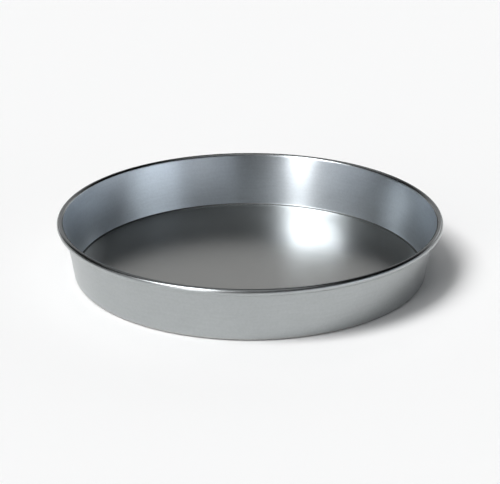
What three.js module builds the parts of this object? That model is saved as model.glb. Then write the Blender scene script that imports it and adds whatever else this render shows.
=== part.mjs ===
// Round deep-dish pizza pan: a drawn sheet-metal shell whose rolled edge is closed over a stiffening wire.
// Units are millimetres and +Z is up. The origin is the centre of the underside, so the pan stands on z = 0.

import * as THREE from 'three';

// Driving dimensions
const TOP_INSIDE_DIAMETER = 254;
const INSIDE_DEPTH = 38.1;
const WALL_TAPER_AT_BASE_DEGREES = 7;
const WALL_TAPER_AT_RIM_DEGREES = 14;
const SHEET_THICKNESS = 0.7;
const CORNER_INSIDE_RADIUS = 1.5;
const WIRE_DIAMETER = 2.6;
const WIRE_CLEARANCE = 0.3;
const CURL_EDGE_GAP = 0.45;
const WIRE_BUTT_GAP = 0.8;

// Facets
const STEPS_AROUND = 72;
const STEPS_IN_CORNER = 4;
const STEPS_IN_WALL = 4;
const STEPS_IN_CURL = 12;
const WIRE_SIDES = 10;

// Sizes that follow from the driving dimensions
const taperAtBase = THREE.MathUtils.degToRad(WALL_TAPER_AT_BASE_DEGREES);
const taperAtRim = THREE.MathUtils.degToRad(WALL_TAPER_AT_RIM_DEGREES);
const overallHeight = INSIDE_DEPTH + SHEET_THICKNESS;
const curlInnerRadius = WIRE_DIAMETER / 2 + WIRE_CLEARANCE;
const curlOuterRadius = curlInnerRadius + SHEET_THICKNESS;
const cornerOutsideRadius = CORNER_INSIDE_RADIUS + SHEET_THICKNESS;

/** A step square to the wall, away from the pan's axis, in the section plane of radius (x) and height (y). */
function outward(taper, distance) {
  return new THREE.Vector2(Math.cos(taper), -Math.sin(taper)).multiplyScalar(distance);
}

// The curl leaves the wall's inside face at a tangent, and its top is the highest point of the pan
const curlStart = new THREE.Vector2(
  TOP_INSIDE_DIAMETER / 2,
  overallHeight - curlOuterRadius * (1 - Math.sin(taperAtRim)),
);
const curlCentre = curlStart.clone().add(outward(taperAtRim, curlOuterRadius));

// The wall is a gentle arc about a point outside the pan, from the corner up to the curl
const wallFootHeight = SHEET_THICKNESS + CORNER_INSIDE_RADIUS * (1 - Math.sin(taperAtBase));
const wallInsideRadius = (curlStart.y - wallFootHeight) / (Math.sin(taperAtRim) - Math.sin(taperAtBase));
const wallOutsideRadius = wallInsideRadius - SHEET_THICKNESS;
const wallCentre = curlStart.clone().add(outward(taperAtRim, wallInsideRadius));

// The corner's arcs touch the base and the wall
const cornerCentre = wallCentre.clone().sub(outward(taperAtBase, wallInsideRadius + CORNER_INSIDE_RADIUS));

/** The points of an arc in the section plane, from one angle to another, both ends included. */
function arcPoints(centre, radius, fromAngle, toAngle, steps) {
  const points = [];
  for (let i = 0; i <= steps; i += 1) {
    const angle = THREE.MathUtils.lerp(fromAngle, toAngle, i / steps);
    points.push(new THREE.Vector2(
      centre.x + radius * Math.cos(angle),
      centre.y + radius * Math.sin(angle),
    ));
  }
  return points;
}

/** The shell's section, from the axis under the base, out and up round the curl, and back over the base. */
function shellSection() {
  const footAngle = Math.PI - taperAtBase;
  const rimAngle = Math.PI - taperAtRim;
  const down = -Math.PI / 2;
  const cornerOutside = arcPoints(cornerCentre, cornerOutsideRadius, down, -taperAtBase, STEPS_IN_CORNER);
  const cornerInside = arcPoints(cornerCentre, CORNER_INSIDE_RADIUS, -taperAtBase, down, STEPS_IN_CORNER);
  const wallOutside = arcPoints(wallCentre, wallOutsideRadius, footAngle, rimAngle, STEPS_IN_WALL);
  const wallInside = arcPoints(wallCentre, wallInsideRadius, rimAngle, footAngle, STEPS_IN_WALL);

  // The sheet turns clockwise round the wire and stops short of the wall by the edge gap
  const openAngle = Math.acos((curlInnerRadius - CURL_EDGE_GAP) / curlOuterRadius);
  const edgeAngle = rimAngle - (2 * Math.PI - openAngle);
  const curlInside = arcPoints(curlCentre, curlInnerRadius, rimAngle, edgeAngle, STEPS_IN_CURL);
  const curlOutside = arcPoints(curlCentre, curlOuterRadius, edgeAngle, rimAngle, STEPS_IN_CURL);

  // Where two stretches meet, the shared point is kept once
  return [
    new THREE.Vector2(0, 0),
    ...cornerOutside,
    ...wallOutside.slice(1),
    ...curlInside.slice(1),
    ...curlOutside,
    ...wallInside.slice(1),
    ...cornerInside.slice(1),
    new THREE.Vector2(0, SHEET_THICKNESS),
  ];
}

/** The line along the middle of the rim wire: a level circle that stops short of itself by the butt gap. */
class WireCentreLine extends THREE.Curve {
  getPoint(share, target = new THREE.Vector3()) {
    const gapAngle = WIRE_BUTT_GAP / curlCentre.x;
    const angle = gapAngle / 2 + share * (2 * Math.PI - gapAngle);
    return target.set(curlCentre.x * Math.cos(angle), curlCentre.x * Math.sin(angle), curlCentre.y);
  }
}

function makeShell() {
  const geometry = new THREE.LatheGeometry(shellSection(), STEPS_AROUND);
  geometry.rotateX(Math.PI / 2);
  const material = new THREE.MeshStandardMaterial({ color: 0xb4b7ba, roughness: 0.32, metalness: 1 });
  const mesh = new THREE.Mesh(geometry, material);
  mesh.name = 'pan_shell';
  return mesh;
}

function makeRimWire() {
  const section = new THREE.Shape();
  section.setFromPoints(
    arcPoints(new THREE.Vector2(), WIRE_DIAMETER / 2, 0, 2 * Math.PI, WIRE_SIDES).slice(0, -1),
  );
  const geometry = new THREE.ExtrudeGeometry(section, {
    extrudePath: new WireCentreLine(),
    steps: STEPS_AROUND,
  });
  const material = new THREE.MeshStandardMaterial({ color: 0x8d9196, roughness: 0.45, metalness: 1 });
  const mesh = new THREE.Mesh(geometry, material);
  mesh.name = 'rim_wire';
  return mesh;
}

const pan = new THREE.Group();
pan.add(makeShell(), makeRimWire());

export default pan;
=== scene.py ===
"""A round deep-dish pizza pan of tin-plated sheet steel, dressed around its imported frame.

The pan is two pieces: a pressed shell with a flat floor, a gently flared wall and an edge rolled outward,
and the stiffening wire inside that rolled edge. Lengths are in metres, +Z is up and the pan stands on z = 0.
"""

from __future__ import annotations

import logging
import math
from dataclasses import dataclass
from enum import Enum, IntEnum

import bmesh
import bpy
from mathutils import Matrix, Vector

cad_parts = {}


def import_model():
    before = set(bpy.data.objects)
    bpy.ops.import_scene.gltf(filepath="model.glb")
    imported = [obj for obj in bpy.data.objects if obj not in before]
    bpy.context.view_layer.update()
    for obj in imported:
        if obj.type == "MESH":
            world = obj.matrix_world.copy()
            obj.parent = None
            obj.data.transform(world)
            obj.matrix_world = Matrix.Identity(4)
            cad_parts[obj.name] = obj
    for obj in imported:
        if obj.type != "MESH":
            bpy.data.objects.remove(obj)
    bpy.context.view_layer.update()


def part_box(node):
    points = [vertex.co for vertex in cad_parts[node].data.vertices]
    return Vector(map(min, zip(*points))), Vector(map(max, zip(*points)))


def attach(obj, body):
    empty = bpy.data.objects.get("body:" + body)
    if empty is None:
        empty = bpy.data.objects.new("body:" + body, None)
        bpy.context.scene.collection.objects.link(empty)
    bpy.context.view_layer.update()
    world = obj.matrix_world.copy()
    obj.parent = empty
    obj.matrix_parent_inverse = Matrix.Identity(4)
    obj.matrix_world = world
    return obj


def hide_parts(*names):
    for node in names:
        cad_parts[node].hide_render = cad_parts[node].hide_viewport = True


LOG = logging.getLogger("pizza_pan")

MILLIMETRE = 0.001
SAME_POINT = 0.001 * MILLIMETRE
BODY = "root"
SHELL_NODE = "pan_shell"
WIRE_NODE = "rim_wire"
OPAQUE = 1.0

Point = tuple[float, float]
Colour = tuple[float, float, float]
Socket = bpy.types.NodeSocket
Feed = float | tuple[float, ...] | Socket


class Zone(IntEnum):
    """The stretches of the shell that have a finish of their own. A zone's number is its material slot."""

    FLOOR = 0
    # The floor's side of the round corner, painted near-black as shade in the fold
    CORNER = 1
    WALL = 2
    # The top of the rolled edge, painted dark to stand in for the dark reflections on the bead
    RIM = 3
    OUTSIDE = 4
    UNDERSIDE = 5


class Lines(Enum):
    """The fine lines that working the sheet leaves in its surface."""

    ROLLED = "rolled_lines"
    DRAWN = "drawn_lines"


class Side(Enum):
    """The side of a limit on which a soft step is 1, as the step's values before and after the limit."""

    BELOW = (1.0, 0.0)
    ABOVE = (0.0, 1.0)


class Graph:
    """A node tree with short ways to add nodes and join them."""

    noise_middle: float = 0.5

    def __init__(self, tree: bpy.types.NodeTree) -> None:
        """Keeps the tree and empties it."""
        self.tree = tree
        tree.nodes.clear()

    def add(self, kind: str, **settings: object) -> bpy.types.Node:
        """Adds a node.

        Args:
            kind: The node's type, without its ShaderNode prefix or with a Node prefix of its own.
            settings: Properties of the node, by name.

        Returns:
            The new node.
        """
        node = self.tree.nodes.new(kind if kind.startswith("Node") else "ShaderNode" + kind)
        for name, value in settings.items():
            setattr(node, name, value)
        return node

    def feed(self, node: bpy.types.Node, **inputs: Feed) -> bpy.types.Node:
        """Sets or links a node's inputs, where an underscore in a name stands for a space.

        Args:
            node: The node.
            inputs: A value, or an output to link, for each input's name, or in0, in1 for inputs by place.

        Returns:
            The same node.
        """
        for name, value in inputs.items():
            by_place = name[:2] == "in" and name[2:].isdigit()
            socket = node.inputs[int(name[2:])] if by_place else node.inputs[name.replace("_", " ")]
            if isinstance(value, Socket):
                self.tree.links.new(value, socket)
            else:
                socket.default_value = value
        return node

    def math(self, operation: str, *values: Feed) -> Socket:
        """Adds a Math node.

        Args:
            operation: The node's operation.
            values: A number or a socket for each of its inputs.

        Returns:
            The result's socket.
        """
        node = self.add("Math", operation=operation)
        self.feed(node, **{f"in{place}": value for place, value in enumerate(values)})
        return node.outputs[0]

    def soft_step(self, value: Socket, limit: Socket, softness: Socket, side: Side) -> Socket:
        """Steps smoothly between 0 and 1 at a limit.

        Args:
            value: The value to compare with the limit.
            limit: The middle of the step.
            softness: How far the step reaches to each side of the limit.
            side: The side on which the result is 1.

        Returns:
            The result's socket.
        """
        before, after = side.value
        node = self.feed(
            self.add("MapRange", interpolation_type="SMOOTHSTEP"),
            Value=value,
            From_Min=self.math("SUBTRACT", limit, softness),
            From_Max=self.math("ADD", limit, softness),
            To_Min=before,
            To_Max=after,
        )
        return node.outputs["Result"]

    def noise(self, place: Socket, detail: float, scale: Feed = 1.0) -> Socket:
        """Adds a Noise Texture whose values lie on both sides of 0.

        Args:
            place: The place to sample.
            detail: The number of finer octaves.
            scale: How many waves a unit of the place has.

        Returns:
            The noise value's socket.
        """
        node = self.feed(self.add("TexNoise"), Vector=place, Scale=scale, Detail=detail)
        return self.math("SUBTRACT", node.outputs["Fac"], self.noise_middle)


GroupParts = tuple[Graph, bpy.types.Node, bpy.types.Node]


def new_group(name: str, inputs: dict[str, float], outputs: list[str]) -> GroupParts:
    """Makes an empty shader node group.

    Args:
        name: The group's name.
        inputs: Each input's name and starting value, all of them numbers.
        outputs: Each output's name, all of them numbers.

    Returns:
        The group's graph, its input node and its output node.
    """
    tree = bpy.data.node_groups.new(name, "ShaderNodeTree")
    for label, value in inputs.items():
        socket = tree.interface.new_socket(label, in_out="INPUT", socket_type="NodeSocketFloat")
        socket.default_value = value
    for label in outputs:
        tree.interface.new_socket(label, in_out="OUTPUT", socket_type="NodeSocketFloat")
    graph = Graph(tree)
    return graph, graph.add("NodeGroupInput"), graph.add("NodeGroupOutput")


@dataclass(frozen=True)
class Effects:
    """The node groups that the finishes share."""

    grain: bpy.types.NodeTree
    lines: dict[Lines, bpy.types.NodeTree]


@dataclass(frozen=True)
class SheetMarks:
    """The marks of the tin coat and of working the sheet, each as a node group that the finishes share.

    Scales are in waves to a metre, and those along the drawn lines in waves to a radian. A detail is the
    number of finer octaves.
    """

    cloud_scale: float = 45.0
    cloud_detail: float = 3.0
    speckle_scale: float = 620.0
    speckle_detail: float = 2.0
    rolled_across: float = 700.0
    rolled_along: float = 14.0
    drawn_across: float = 650.0
    drawn_around: float = 7.0
    line_detail: float = 2.0

    def build(self) -> Effects:
        """Builds each group once, for all finishes."""
        lines = {Lines.ROLLED: self.rolled_lines(), Lines.DRAWN: self.drawn_lines()}
        return Effects(self.tin_grain(), lines)

    def tin_grain(self) -> bpy.types.NodeTree:
        """Builds the effect of a tin coat: slow clouds with a fine speckle over them.

        Returns:
            The group, whose clouds and speckle lie on both sides of 0.
        """
        scales = {"Cloud Scale": self.cloud_scale, "Speckle Scale": self.speckle_scale}
        graph, given, out = new_group("tin_grain", scales, ["Clouds", "Speckle"])
        place = graph.add("TexCoord").outputs["Object"]
        graph.feed(
            out,
            Clouds=graph.noise(place, self.cloud_detail, given.outputs["Cloud Scale"]),
            Speckle=graph.noise(place, self.speckle_detail, given.outputs["Speckle Scale"]),
        )
        return graph.tree

    def rolled_lines(self) -> bpy.types.NodeTree:
        """Builds the straight lines that the mill's rolls leave in flat sheet, all along X.

        Returns:
            The group, whose lines lie on both sides of 0.
        """
        scales = {"Across": self.rolled_across, "Along": self.rolled_along}
        graph, given, out = new_group(Lines.ROLLED.value, scales, ["Lines"])
        place = graph.add("TexCoord").outputs["Object"]
        axes = graph.feed(graph.add("SeparateXYZ"), Vector=place)
        stretched = graph.feed(
            graph.add("CombineXYZ"),
            X=graph.math("MULTIPLY", axes.outputs["X"], given.outputs["Along"]),
            Y=graph.math("MULTIPLY", axes.outputs["Y"], given.outputs["Across"]),
        )
        graph.feed(out, Lines=graph.noise(stretched.outputs[0], self.line_detail))
        return graph.tree

    def drawn_lines(self) -> bpy.types.NodeTree:
        """Builds the lines that the press and the rolling of the edge leave round the pan's axis.

        Returns:
            The group, whose lines lie on both sides of 0.
        """
        scales = {"Across": self.drawn_across, "Around": self.drawn_around}
        graph, given, out = new_group(Lines.DRAWN.value, scales, ["Lines"])
        place = graph.add("TexCoord").outputs["Object"]
        axes = graph.feed(graph.add("SeparateXYZ"), Vector=place)
        flat = graph.feed(graph.add("CombineXYZ"), X=axes.outputs["X"], Y=axes.outputs["Y"])
        bearing = graph.feed(graph.add("VectorMath", operation="NORMALIZE"), in0=flat.outputs[0])
        turned = graph.feed(graph.add("SeparateXYZ"), Vector=bearing.outputs[0])
        stretched = graph.feed(
            graph.add("CombineXYZ"),
            X=graph.math("MULTIPLY", turned.outputs["X"], given.outputs["Around"]),
            Y=graph.math("MULTIPLY", turned.outputs["Y"], given.outputs["Around"]),
            Z=graph.math("MULTIPLY", axes.outputs["Z"], given.outputs["Across"]),
        )
        graph.feed(out, Lines=graph.noise(stretched.outputs[0], self.line_detail))
        return graph.tree


@dataclass(frozen=True)
class Finish:
    """A bright metal finish: its colour, its gloss and how much the sheet's marks show in it.

    A tint is the share of the colour, and a haze the roughness, that a mark adds at its full strength. The
    ripple is the height of the slow waves that pressing leaves in the sheet. Anisotropy draws the gloss out,
    across the drawn lines, because the gloss turn is a quarter turn away from them.
    """

    name: str
    colour: Colour
    roughness: float
    lines: Lines
    cloud_tint: float = 0.10
    speckle_tint: float = 0.16
    line_tint: float = 0.12
    cloud_haze: float = 0.05
    line_haze: float = 0.05
    ripple: float = 0.04 * MILLIMETRE
    anisotropy: float = 0.0
    gloss_turn: float = 0.25

    def make(self, effects: Effects) -> bpy.types.Material:
        """Builds the finish's material.

        Args:
            effects: The shared node groups.

        Returns:
            The material.
        """
        material = bpy.data.materials.new(self.name)
        material.use_nodes = True
        graph = Graph(material.node_tree)
        grain = graph.add("Group", node_tree=effects.grain)
        lines = graph.add("Group", node_tree=effects.lines[self.lines]).outputs["Lines"]
        clouds, speckle = grain.outputs["Clouds"], grain.outputs["Speckle"]
        tint = graph.math("MULTIPLY_ADD", clouds, self.cloud_tint, 1.0)
        tint = graph.math("MULTIPLY_ADD", speckle, self.speckle_tint, tint)
        tint = graph.math("MULTIPLY_ADD", lines, self.line_tint, tint)
        colour = graph.feed(graph.add("VectorMath", operation="SCALE"), in0=self.colour, Scale=tint)
        haze = graph.math("MULTIPLY_ADD", clouds, self.cloud_haze, self.roughness)
        haze = graph.math("MULTIPLY_ADD", lines, self.line_haze, haze)
        waves = graph.feed(graph.add("Bump"), Strength=1.0, Distance=self.ripple, Height=clouds)
        shader = graph.feed(
            graph.add("BsdfPrincipled"),
            Base_Color=colour.outputs[0],
            Metallic=1.0,
            Roughness=haze,
            Normal=waves.outputs["Normal"],
        )
        if self.anisotropy:
            around = graph.add("Tangent", direction_type="RADIAL", axis="Z")
            graph.feed(
                shader,
                Anisotropic=self.anisotropy,
                Anisotropic_Rotation=self.gloss_turn,
                Tangent=around.outputs[0],
            )
        graph.feed(graph.add("OutputMaterial"), Surface=shader.outputs[0])
        return material


SHELL_FINISHES: dict[Zone, Finish] = {
    Zone.FLOOR: Finish("tin_plate_floor", (0.425, 0.43, 0.42), 0.26, Lines.ROLLED, line_haze=0.0),
    # Painted shade: the corner's near-black colour stands in for the shade in the fold between floor and
    # wall
    Zone.CORNER: Finish("tin_plate_corner", (0.10, 0.105, 0.105), 0.40, Lines.DRAWN),
    # Partly painted reflection: the tin's own light colour, with a blue cast that stands in for cool light
    # reflected in the wall
    Zone.WALL: Finish("tin_plate_wall", (0.68, 0.73, 0.775), 0.33, Lines.DRAWN, anisotropy=0.68),
    # Painted shade: the rim's dark colour stands in for the dark reflections on the bead, not the tin's own
    # colour
    Zone.RIM: Finish("tin_plate_rim", (0.19, 0.20, 0.205), 0.20, Lines.DRAWN),
    Zone.OUTSIDE: Finish("tin_plate_outside", (0.42, 0.44, 0.443), 0.32, Lines.DRAWN, anisotropy=0.3),
    Zone.UNDERSIDE: Finish("tin_plate_underside", (0.44, 0.445, 0.44), 0.36, Lines.ROLLED, line_haze=0.10),
}
WIRE_FINISH = Finish("drawn_wire", (0.45, 0.46, 0.48), 0.42, Lines.DRAWN)


def arc_points(centre: Point, radius: float, start: float, end: float, steps: int) -> list[Point]:
    """Gives the points of an arc in the section plane of radius and height.

    Args:
        centre: The arc's centre.
        radius: The arc's radius.
        start: The angle of the first point, in radians from the outward direction.
        end: The angle of the last point.
        steps: The number of equal steps between them.

    Returns:
        The points, both ends included.
    """
    angles = [start + (end - start) * i / steps for i in range(steps + 1)]
    return [(centre[0] + radius * math.cos(a), centre[1] + radius * math.sin(a)) for a in angles]


def place_mesh(mesh: bmesh.types.BMesh, name: str) -> bpy.types.Object:
    """Puts a finished mesh into the scene.

    Args:
        mesh: The mesh, which is freed here.
        name: The piece's name.

    Returns:
        The new object.
    """
    data = bpy.data.meshes.new(name)
    mesh.to_mesh(data)
    mesh.free()
    piece = bpy.data.objects.new(name, data)
    bpy.context.scene.collection.objects.link(piece)
    return piece


@dataclass(frozen=True)
class PanSizes:
    """The sizes that the shell and the wire share.

    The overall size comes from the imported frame, and the metal's own sizes are named here.
    """

    outer_radius: float
    height: float
    wire_diameter: float
    sheet: float = 0.7 * MILLIMETRE
    wire_clearance: float = 0.3 * MILLIMETRE
    curl_edge_gap: float = 0.45 * MILLIMETRE
    wire_butt_gap: float = 0.8 * MILLIMETRE
    corner_radius: float = 1.5 * MILLIMETRE
    taper_at_base: float = math.radians(7)
    taper_at_rim: float = math.radians(14)

    @classmethod
    def from_frame(cls) -> PanSizes:
        """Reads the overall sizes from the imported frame.

        Returns:
            The pan's sizes.
        """
        shell_low, shell_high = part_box(SHELL_NODE)
        wire_low, wire_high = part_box(WIRE_NODE)
        return cls(
            outer_radius=(shell_high.x - shell_low.x) / 2,
            height=shell_high.z - shell_low.z,
            wire_diameter=wire_high.z - wire_low.z,
        )

    @property
    def curl_inner(self) -> float:
        """The inside radius of the rolled edge."""
        return self.wire_diameter / 2 + self.wire_clearance

    @property
    def curl_outer(self) -> float:
        """The outside radius of the rolled edge."""
        return self.curl_inner + self.sheet

    @property
    def curl_centre(self) -> Point:
        """The middle of the rolled edge, where the wire runs."""
        return self.outer_radius - self.curl_outer, self.height - self.curl_outer

    @property
    def curl_start(self) -> Point:
        """The point on the wall's inside face where the edge starts to roll outward."""
        x, y = self.curl_centre
        return (
            x - self.curl_outer * math.cos(self.taper_at_rim),
            y + self.curl_outer * math.sin(self.taper_at_rim),
        )

    @property
    def wall_radius(self) -> float:
        """The radius of the wall's gentle flare, on its inside face."""
        foot = self.sheet + self.corner_radius * (1 - math.sin(self.taper_at_base))
        return (self.curl_start[1] - foot) / (math.sin(self.taper_at_rim) - math.sin(self.taper_at_base))

    @property
    def wall_centre(self) -> Point:
        """The centre of the wall's flare, which lies outside the pan."""
        x, y = self.curl_start
        return (
            x + self.wall_radius * math.cos(self.taper_at_rim),
            y - self.wall_radius * math.sin(self.taper_at_rim),
        )

    @property
    def corner_centre(self) -> Point:
        """The centre of the round corner between floor and wall."""
        x, y = self.wall_centre
        reach = self.wall_radius + self.corner_radius
        return x - reach * math.cos(self.taper_at_base), y + reach * math.sin(self.taper_at_base)


@dataclass(frozen=True)
class PanShell:
    """The pressed shell: floor, corner, flared wall and rolled edge as one closed sheet.

    Painted shade takes up its share of the corner, from the floor up: a near-black finish that stands in for
    the shade in the fold between floor and wall. The wall's finish runs on over the lip, the inner side of
    the roll, to the angle lip_ends above the level of the roll's middle. The top has the roll's dark finish,
    painted shade that stands in for the dark reflections on the bead, as far as the angle top_ends on the
    outer side, where the outside's finish starts.
    """

    sizes: PanSizes
    steps_around: int = 288
    floor_rings: int = 10
    steps_in_corner: int = 8
    # The share of the corner, from the floor up, that carries the painted shade
    painted_shade_share: float = 0.7
    steps_in_wall: int = 12
    steps_in_curl: int = 36
    steps_in_lip: int = 6
    lip_ends: float = math.radians(34)
    top_ends: float = math.radians(42)

    def section(self) -> list[tuple[Point, Zone]]:
        """Lays out the section from the middle of the floor, over the edge and back to the middle below.

        Returns:
            The section's points, each with the zone of the stretch that follows it.
        """
        sizes = self.sizes
        corner, wall, curl = sizes.corner_centre, sizes.wall_centre, sizes.curl_centre
        corner_inner, corner_outer = sizes.corner_radius, sizes.corner_radius + sizes.sheet
        wall_inner, wall_outer = sizes.wall_radius, sizes.wall_radius - sizes.sheet
        curl_inner, curl_outer = sizes.curl_inner, sizes.curl_outer
        half_corner = self.steps_in_corner // 2
        half_curl = self.steps_in_curl // 2

        # Angles of the arcs' ends, each about its own centre
        down = -math.pi / 2
        upright = -sizes.taper_at_base
        # The angle where the painted shade in the corner ends
        shade_edge = down + (upright - down) * self.painted_shade_share
        foot = math.pi - sizes.taper_at_base
        rim = math.pi - sizes.taper_at_rim
        lip = math.pi - self.lip_ends
        top = self.top_ends
        opening = math.acos((curl_inner - sizes.curl_edge_gap) / curl_outer)
        edge = rim - (2 * math.pi - opening)

        rings = [corner[0] * i / self.floor_rings for i in range(self.floor_rings)]
        stretches: list[tuple[list[Point], Zone]] = [
            ([(radius, sizes.sheet) for radius in rings], Zone.FLOOR),
            # The floor's side of the corner carries the painted shade
            (arc_points(corner, corner_inner, down, shade_edge, half_corner), Zone.CORNER),
            (arc_points(corner, corner_inner, shade_edge, upright, half_corner), Zone.WALL),
            (arc_points(wall, wall_inner, foot, rim, self.steps_in_wall), Zone.WALL),
            (arc_points(curl, curl_outer, rim, lip, self.steps_in_lip), Zone.WALL),
            # The top of the roll carries the painted dark finish, which stands in for the bead's dark
            # reflections
            (arc_points(curl, curl_outer, lip, top, half_curl), Zone.RIM),
            (arc_points(curl, curl_outer, top, edge, half_curl), Zone.OUTSIDE),
            (arc_points(curl, curl_inner, edge, rim, self.steps_in_curl), Zone.RIM),
            (arc_points(wall, wall_outer, rim, foot, self.steps_in_wall), Zone.OUTSIDE),
            (arc_points(corner, corner_outer, upright, down, self.steps_in_corner), Zone.UNDERSIDE),
            ([(radius, 0.0) for radius in reversed(rings)], Zone.UNDERSIDE),
        ]

        # Where two stretches meet, the shared point is kept once
        points: list[tuple[Point, Zone]] = []
        for stretch, zone in stretches:
            for point in stretch:
                if points and math.dist(points[-1][0], point) < SAME_POINT:
                    points.pop()
                points.append((point, zone))
        return points

    def build(self) -> bpy.types.Object:
        """Turns the section round the pan's axis into one closed mesh.

        Returns:
            The shell's object, whose faces have their zone's material slot.
        """
        mesh = bmesh.new()
        rings: list[list[bmesh.types.BMVert]] = []
        turns = [2 * math.pi * i / self.steps_around for i in range(self.steps_around)]
        section = self.section()
        for (radius, height), _ in section:
            if radius == 0:
                rings.append([mesh.verts.new((0, 0, height))] * self.steps_around)
                continue
            places = [(radius * math.cos(turn), radius * math.sin(turn), height) for turn in turns]
            rings.append([mesh.verts.new(place) for place in places])
        for (_, zone), inner, outer in zip(section, rings, rings[1:]):
            for i in range(self.steps_around):
                j = (i + 1) % self.steps_around
                # On the axis two of the four corners are the same point
                corners = list(dict.fromkeys((inner[i], outer[i], outer[j], inner[j])))
                face = mesh.faces.new(corners)
                face.material_index = zone
                face.smooth = True
        bmesh.ops.recalc_face_normals(mesh, faces=mesh.faces)
        return place_mesh(mesh, "shell")

    def dress(self, piece: bpy.types.Object, effects: Effects) -> None:
        """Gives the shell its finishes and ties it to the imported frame.

        Args:
            piece: The shell's object.
            effects: The node groups that the finishes share.
        """
        for zone in Zone:
            piece.data.materials.append(SHELL_FINISHES[zone].make(effects))
        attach(piece, BODY)
        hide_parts(SHELL_NODE)


@dataclass(frozen=True)
class RimWire:
    """The stiffening wire: a round bar bent to a ring, with its two cut ends close together."""

    sizes: PanSizes
    steps_around: int = 240
    sides: int = 16

    def build(self) -> bpy.types.Object:
        """Sweeps the wire's round section along its ring and closes the cut ends.

        Returns:
            The wire's object.
        """
        mesh = bmesh.new()
        centre = self.sizes.curl_centre
        gap = self.sizes.wire_butt_gap / centre[0]
        section = arc_points(centre, self.sizes.wire_diameter / 2, 0, 2 * math.pi, self.sides)[:-1]
        rings: list[list[bmesh.types.BMVert]] = []
        for i in range(self.steps_around + 1):
            turn = gap / 2 + (2 * math.pi - gap) * i / self.steps_around
            places = [(radius * math.cos(turn), radius * math.sin(turn), z) for radius, z in section]
            rings.append([mesh.verts.new(place) for place in places])
        for here, there in zip(rings, rings[1:]):
            for i in range(self.sides):
                j = (i + 1) % self.sides
                mesh.faces.new((here[i], there[i], there[j], here[j])).smooth = True
        mesh.faces.new(rings[0])
        mesh.faces.new(rings[-1])
        bmesh.ops.recalc_face_normals(mesh, faces=mesh.faces)
        return place_mesh(mesh, "wire")

    def dress(self, piece: bpy.types.Object, effects: Effects) -> None:
        """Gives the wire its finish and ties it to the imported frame.

        Args:
            piece: The wire's object.
            effects: The node groups that the finishes share.
        """
        piece.data.materials.append(WIRE_FINISH.make(effects))
        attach(piece, BODY)
        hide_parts(WIRE_NODE)


@dataclass(frozen=True)
class PhotoCamera:
    """The camera at the photograph's angle: it looks along +Y and down at the pan.

    The distance, and the height above the pan's underside that the camera aims at, are in outer radii.
    """

    elevation: float = math.radians(21.93)
    distance: float = 8.0
    aim_height: float = 0.1345
    focal_pixels: float = 1525.2
    image_width: int = 500
    sensor_width: float = 36.0

    def build(self, sizes: PanSizes) -> None:
        """Makes the camera and sets it as the scene's own.

        Args:
            sizes: The pan's sizes.
        """
        data = bpy.data.cameras.new("photo_camera")
        data.sensor_width = self.sensor_width
        data.lens = self.focal_pixels / self.image_width * self.sensor_width
        camera = bpy.data.objects.new("photo_camera", data)
        aim = Vector((0, 0, self.aim_height * sizes.outer_radius))
        back = Vector((0, -math.cos(self.elevation), math.sin(self.elevation)))
        camera.location = aim + back * self.distance * sizes.outer_radius
        camera.rotation_mode = "QUATERNION"
        camera.rotation_quaternion = (-back).to_track_quat("-Z", "Y")
        bpy.context.scene.collection.objects.link(camera)
        bpy.context.scene.camera = camera


@dataclass(frozen=True)
class SoftPanel:
    """A soft light panel far away in the studio.

    All angles are in degrees. The bearing of the panel's middle is from the camera's side, positive to the
    right. Low and high are its edges above the horizon, and each edge blurs by the softness to either side.
    """

    name: str
    bearing: float
    half_width: float
    low: float
    high: float
    softness: float
    strength: float
    colour: Colour = (1.0, 1.0, 1.0)


COOL: Colour = (0.94, 1.0, 1.08)


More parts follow.
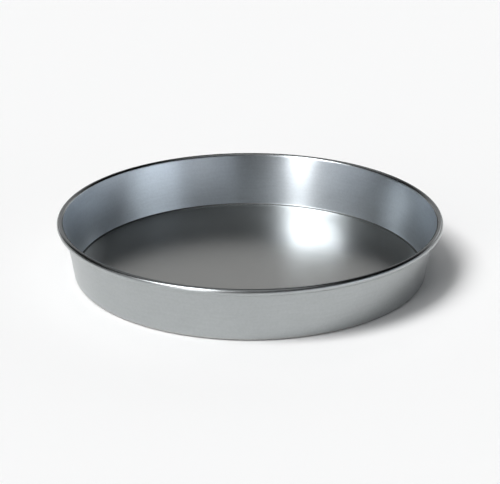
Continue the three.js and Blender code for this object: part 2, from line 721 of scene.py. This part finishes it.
@dataclass(frozen=True)
class Studio:
    """The pale floor and the soft studio light around it."""

    ambient: Colour = (0.005, 0.005, 0.005)
    floor_colour: Colour = (0.93, 0.93, 0.93)
    floor_size: float = 12.0
    least_level: float = 1e-4
    panels: tuple[SoftPanel, ...] = (
        SoftPanel("tall_left", -33, 6.5, -6, 47, 3, 4.3),
        SoftPanel("key_left", -57, 19, 44, 72, 4, 15.8),
        SoftPanel("overhead", 0, 180, 68, 92, 6, 0.9),
        SoftPanel("low_right", 62, 52, -6, 13, 5, 0.82, COOL),
        SoftPanel("low_right_core", 59, 13, -6, 15, 6, 1.0, COOL),
        SoftPanel("low_front_right", 32, 8, -6, 13, 5, 0.45),
        SoftPanel("mid_right", 80, 30, 10, 24, 5, 0.2, COOL),
        SoftPanel("low_left", -66, 20, -6, 14, 6, 0.50, COOL),
        SoftPanel("behind", 178, 36, 10, 30, 5, 0.62),
        SoftPanel("behind_right", 140, 20, 8, 24, 4, 0.85),
        SoftPanel("behind_left", -140, 20, 6, 18, 4, 0.50),
        SoftPanel("high_behind_left", -156, 22, 45, 60, 4, 1.00),
    )

    def build(self) -> None:
        """Makes the floor and the world."""
        self.build_floor()
        self.build_world()

    def build_floor(self) -> None:
        """Lays the plain pale floor at the height that the pan stands on."""
        mesh = bmesh.new()
        bmesh.ops.create_grid(mesh, x_segments=1, y_segments=1, size=self.floor_size / 2)
        floor = place_mesh(mesh, "floor")
        material = bpy.data.materials.new("pale_floor")
        material.use_nodes = True
        graph = Graph(material.node_tree)
        shader = graph.feed(graph.add("BsdfDiffuse"), Color=(*self.floor_colour, OPAQUE))
        graph.feed(graph.add("OutputMaterial"), Surface=shader.outputs[0])
        floor.data.materials.append(material)

    def build_world(self) -> None:
        """Makes the world: a dim even surround with the soft panels in it."""
        world = bpy.data.worlds.new("studio")
        world.use_nodes = True
        bpy.context.scene.world = world
        graph = Graph(world.node_tree)
        way = graph.add("TexCoord").outputs["Generated"]
        axes = graph.feed(graph.add("SeparateXYZ"), Vector=way)
        group = self.panel_group()
        total: Feed = self.ambient
        for panel in self.panels:
            mask = graph.add("Group", node_tree=group, label=panel.name)
            graph.feed(
                mask,
                X=axes.outputs["X"],
                Y=axes.outputs["Y"],
                Z=axes.outputs["Z"],
                Bearing=math.radians(panel.bearing),
                Half_Width=math.radians(panel.half_width),
                Low=math.radians(panel.low),
                High=math.radians(panel.high),
                Softness=math.radians(panel.softness),
            )
            light = graph.add("VectorMath", operation="MULTIPLY_ADD")
            level = tuple(share * panel.strength for share in panel.colour)
            graph.feed(light, in0=mask.outputs["Mask"], in1=level, in2=total)
            total = light.outputs[0]
        background = graph.feed(graph.add("Background"), Color=total, Strength=1.0)
        graph.feed(graph.add("OutputWorld"), Surface=background.outputs[0])

    def panel_group(self) -> bpy.types.NodeTree:
        """Builds the mask of one soft panel, as a group that the world uses once for each panel.

        Returns:
            The group, whose mask is 1 inside the panel and falls softly to 0 at its edges.
        """
        names = ("X", "Y", "Z", "Bearing", "Half Width", "Low", "High", "Softness")
        graph, given, out = new_group("soft_panel", dict.fromkeys(names, 0.0), ["Mask"])
        x, y, z, bearing, half_width, low, high, softness = (given.outputs[name] for name in names)

        # The angle between the way looked at and the panel's bearing, both laid level
        across = graph.math("MULTIPLY", x, graph.math("SINE", bearing))
        along = graph.math("MULTIPLY", y, graph.math("COSINE", bearing))
        ahead = graph.math("SUBTRACT", across, along)
        squares = graph.math("ADD", graph.math("MULTIPLY", x, x), graph.math("MULTIPLY", y, y))
        level = graph.math("MAXIMUM", graph.math("SQRT", squares), self.least_level)
        share = graph.math("MINIMUM", graph.math("DIVIDE", ahead, level), 1.0)
        off = graph.math("ARCCOSINE", graph.math("MAXIMUM", share, -1.0))

        height = graph.math("ARCSINE", z)
        sides = graph.soft_step(off, half_width, softness, Side.BELOW)
        above = graph.soft_step(height, low, softness, Side.ABOVE)
        below = graph.soft_step(height, high, softness, Side.BELOW)
        upright = graph.math("MULTIPLY", above, below)
        graph.feed(out, Mask=graph.math("MULTIPLY", sides, upright))
        return graph.tree


def main() -> None:
    """Builds the camera, the pan and the studio in order."""
    logging.basicConfig(level=logging.INFO, format="%(name)s: %(message)s")
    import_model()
    sizes = PanSizes.from_frame()
    bpy.context.scene.view_settings.view_transform = "Standard"
    PhotoCamera().build(sizes)

    effects = SheetMarks().build()
    for part in (PanShell(sizes), RimWire(sizes)):
        piece = part.build()
        part.dress(piece, effects)
        LOG.info("%s: %d faces", piece.name, len(piece.data.polygons))

    Studio().build()


if __name__ == "__main__":
    main()
